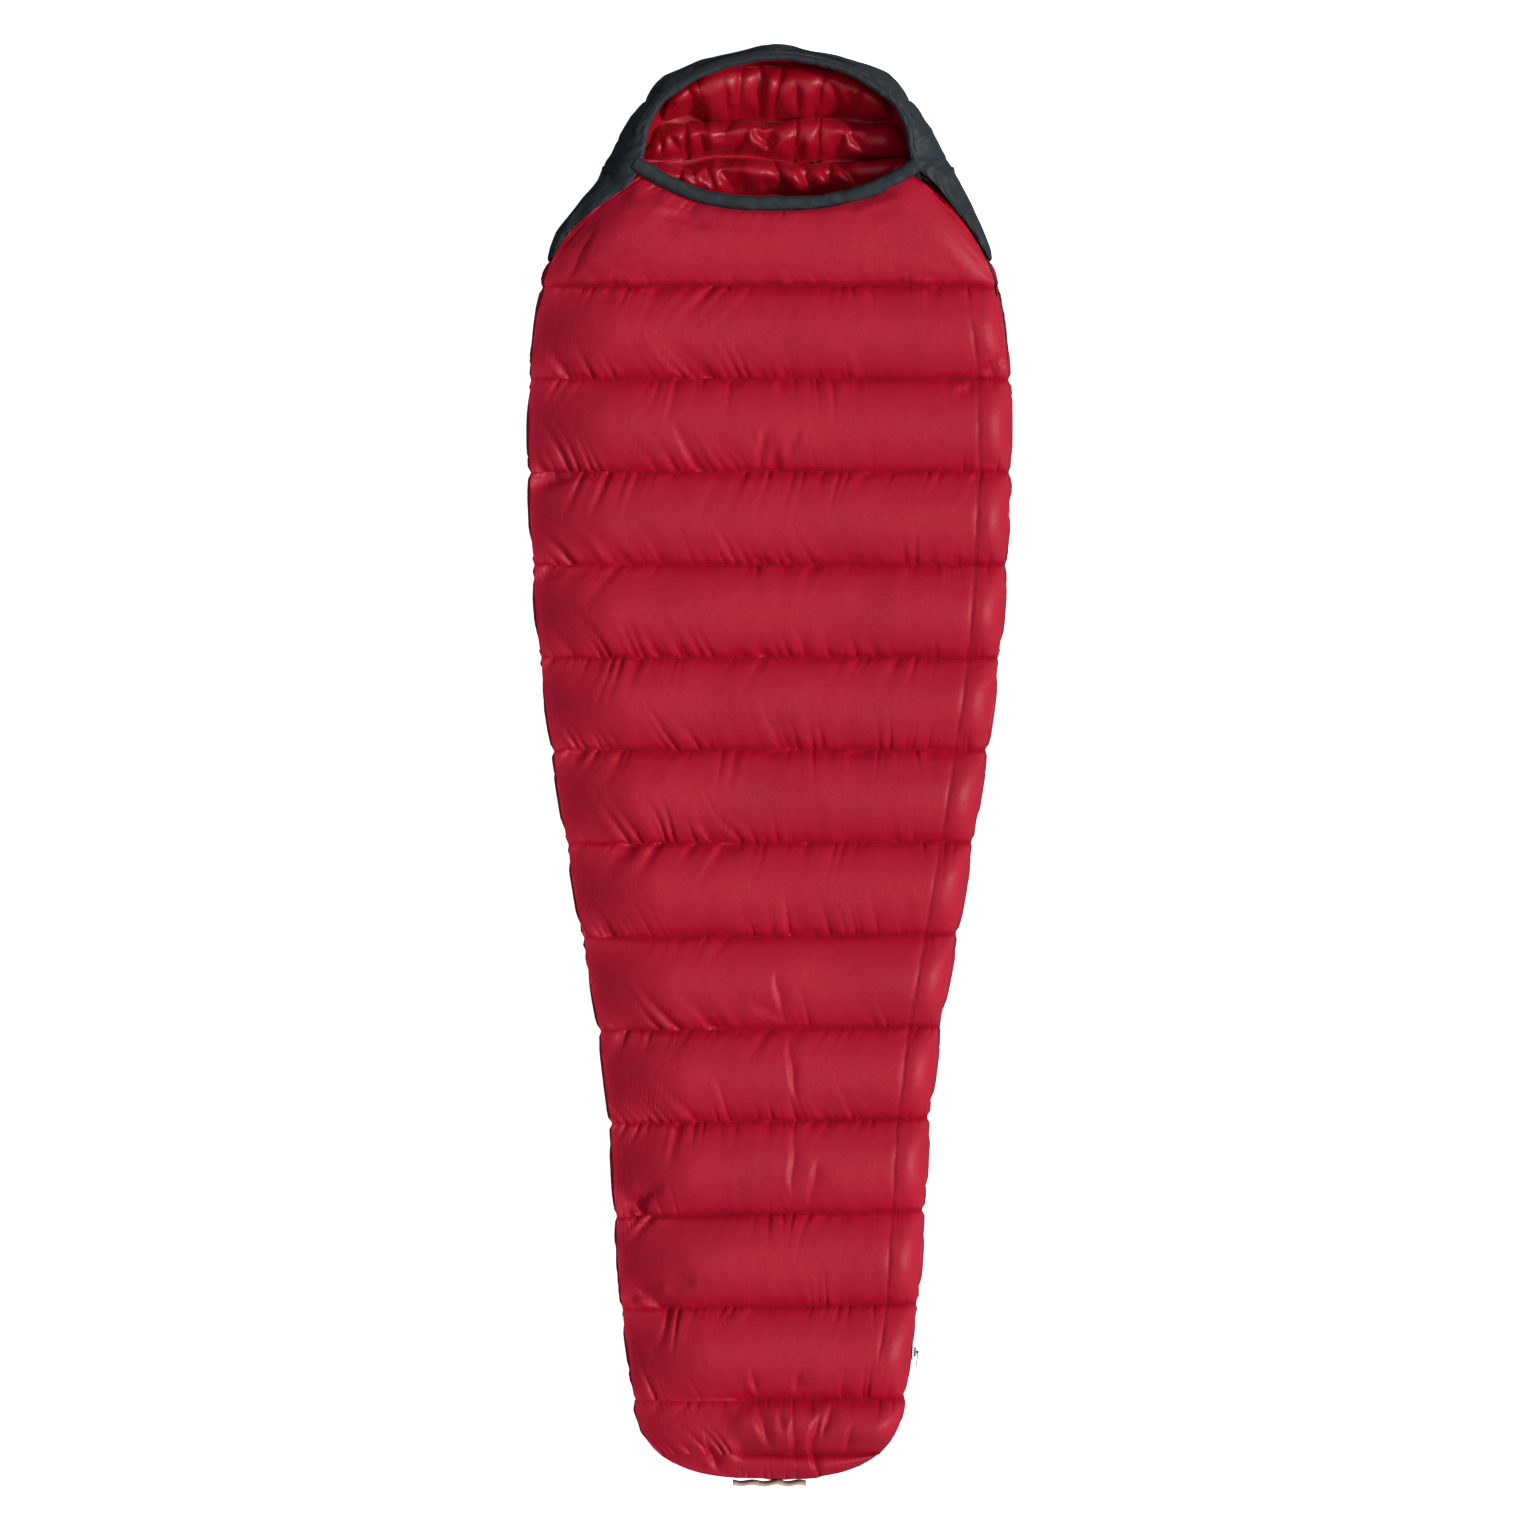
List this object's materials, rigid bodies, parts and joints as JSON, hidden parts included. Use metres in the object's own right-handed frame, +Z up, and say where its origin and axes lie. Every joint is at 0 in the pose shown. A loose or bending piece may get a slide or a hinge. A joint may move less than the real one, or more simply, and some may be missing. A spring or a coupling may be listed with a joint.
{
  "type": "mummy sleeping bag",
  "caption": "Quilted mummy sleeping bag lying zipped on its back, with a drawcord hood, a side zip and a chest flap that folds open.",
  "frame": {"origin": "centre of the bounding box on the surface the bag lies on", "axes": "+X to the zip side, +Y along the bag towards the head, +Z up through the top quilt"},
  "size_m": [0.691, 2.05, 0.148],
  "materials": {
    "shell_nylon": "light ripstop-free woven nylon in deep red, soft satin sheen",
    "charcoal_nylon": "woven nylon in charcoal grey, matt with a faint sheen",
    "lining_nylon": "smooth taffeta lining in brighter red, satin",
    "zip_tape": "woven polyester tape, charcoal, matt",
    "zip_coil": "moulded nylon coil, near black, semi-gloss",
    "slider_metal": "die-cast metal, dark grey lacquer",
    "cord": "braided elastic cord, charcoal, matt",
    "cordlock_plastic": "moulded acetal, black, fine grain",
    "spring_steel": "bright spring wire",
    "loop_tape": "plain woven tape, cream, matt"
  },
  "bodies": {
    "bag": {"chest_yoke": "shell_nylon", "neck_baffle_back": "shell_nylon", "foot_box_front": "shell_nylon", "foot_end_cap": "shell_nylon", "foot_box_back": "shell_nylon", "front_baffle_01": "shell_nylon", "front_baffle_02": "shell_nylon", "front_baffle_03": "shell_nylon", "front_baffle_04": "shell_nylon", "front_baffle_05": "shell_nylon", "front_baffle_06": "shell_nylon", "front_baffle_07": "shell_nylon", "front_baffle_08": "shell_nylon", "front_baffle_09": "shell_nylon", "front_baffle_10": "shell_nylon", "front_baffle_11": "shell_nylon", "front_baffle_12": "shell_nylon", "back_baffle_01": "shell_nylon", "back_baffle_02": "shell_nylon", "back_baffle_03": "shell_nylon", "back_baffle_04": "shell_nylon", "back_baffle_05": "shell_nylon", "back_baffle_06": "shell_nylon", "back_baffle_07": "shell_nylon", "back_baffle_08": "shell_nylon", "back_baffle_09": "shell_nylon", "back_baffle_10": "shell_nylon", "back_baffle_11": "shell_nylon", "back_baffle_12": "shell_nylon", "hood_panel_right": "charcoal_nylon", "hood_crown": "charcoal_nylon", "hood_panel_left": "charcoal_nylon", "hood_rim": "charcoal_nylon", "chin_rim": "charcoal_nylon", "hood_lining_tube_01": "lining_nylon", "hood_lining_tube_02": "lining_nylon", "hood_lining_tube_03": "lining_nylon", "hood_lining_tube_04": "lining_nylon", "draft_tube": "lining_nylon", "zip_tape_back": "zip_tape", "zip_tape_front": "zip_tape", "zip_coil_back": "zip_coil", "zip_coil_front": "zip_coil", "hood_drawcord": "cord", "cordlock_body": "cordlock_plastic", "cordlock_spring": "spring_steel", "foot_hang_loop": "loop_tape"},
    "chest_flap": {"chest_yoke_flap": "shell_nylon", "front_baffle_01_flap": "shell_nylon", "chin_rim_flap": "charcoal_nylon", "zip_tape_flap": "zip_tape", "zip_coil_flap": "zip_coil", "draft_tube_flap": "lining_nylon"},
    "top_slider": {"zip_slider_top": "slider_metal"},
    "top_pull": {"zip_pull_top": "slider_metal"},
    "foot_slider": {"zip_slider_foot": "slider_metal"},
    "foot_pull": {"zip_pull_foot": "slider_metal"},
    "cordlock_push": {"cordlock_button": "cordlock_plastic"}
  },
  "joints": [
    {"name": "zip_top_slide", "type": "hinge", "parent": "bag", "child": "top_slider", "pos_m": [0.0526, 0.59483, 0.0955], "axis": [0, 0, 1], "range_deg": [-55, 0]},
    {"name": "chest_flap_fold", "type": "hinge", "parent": "bag", "child": "chest_flap", "pos_m": [0.1125, 0.715, 0.1505], "axis": [0.8963, -0.4434, 0], "range_deg": [0, 138]},
    {"name": "top_pull_swing", "type": "hinge", "parent": "top_slider", "child": "top_pull", "pos_m": [0.21345, 0.83985, 0.0955], "axis": [0, 0, 1], "range_deg": [0, 150]},
    {"name": "zip_foot_slide", "type": "slide", "parent": "bag", "child": "foot_slider", "axis": [0.0597, 0.9982, 0], "range_m": [0, 0.31]},
    {"name": "foot_pull_swing", "type": "hinge", "parent": "foot_slider", "child": "foot_pull", "pos_m": [0.21132, -0.84093, 0.0955], "axis": [0, 0, 1], "range_deg": [0, 160]},
    {"name": "cordlock_press", "type": "slide", "parent": "bag", "child": "cordlock_push", "axis": [0, 0, -1], "range_m": [0, 0.0035], "stiffness_N_per_m": 400, "springref_m": -0.002, "deforming": ["cordlock_spring"]}
  ],
  "couplings": [
    {"joint": "chest_flap_fold", "follows": "zip_top_slide", "ratio": -2.5091}
  ]
}
